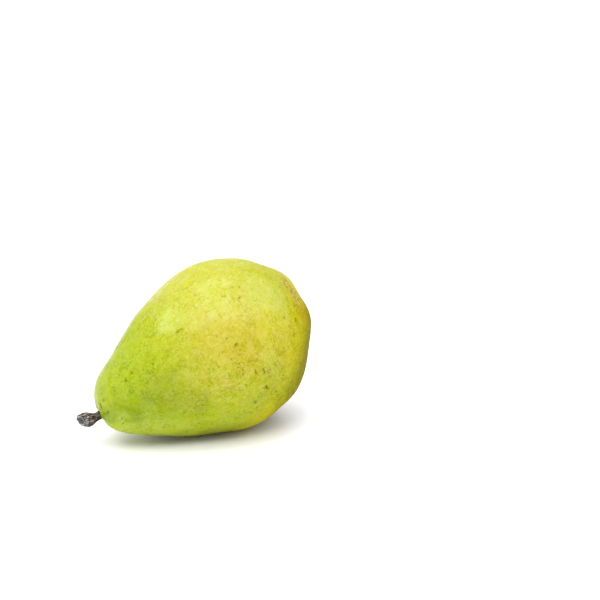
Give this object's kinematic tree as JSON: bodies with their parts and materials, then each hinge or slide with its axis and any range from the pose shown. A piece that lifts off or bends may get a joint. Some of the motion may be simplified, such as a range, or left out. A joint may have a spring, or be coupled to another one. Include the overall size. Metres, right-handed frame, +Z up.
{
  "type": "pear",
  "caption": "Whole green pear lying on its side on a small flat spot, with a short woody stem and a dried calyx in the blossom basin.",
  "frame": {"origin": "on the small flat spot that the pear rests on, close under its weight", "axes": "+Z up, away from the surface; +X level, from the stem end towards the blossom end; +Y to the left, looking along +X"},
  "size_m": [0.1037, 0.0719, 0.0728],
  "materials": {
    "skin": "thin waxy yellow-green fruit skin, satin, with fine lenticels and tan russet round the basin",
    "stem_bark": "dry dark grey-brown bark, matt, ridged along its length",
    "dried_calyx": "dry dark brown sepals, matt, brittle"
  },
  "bodies": {
    "root": {"pear_body": "skin", "stem": "stem_bark", "calyx": "dried_calyx"}
  },
  "joints": []
}
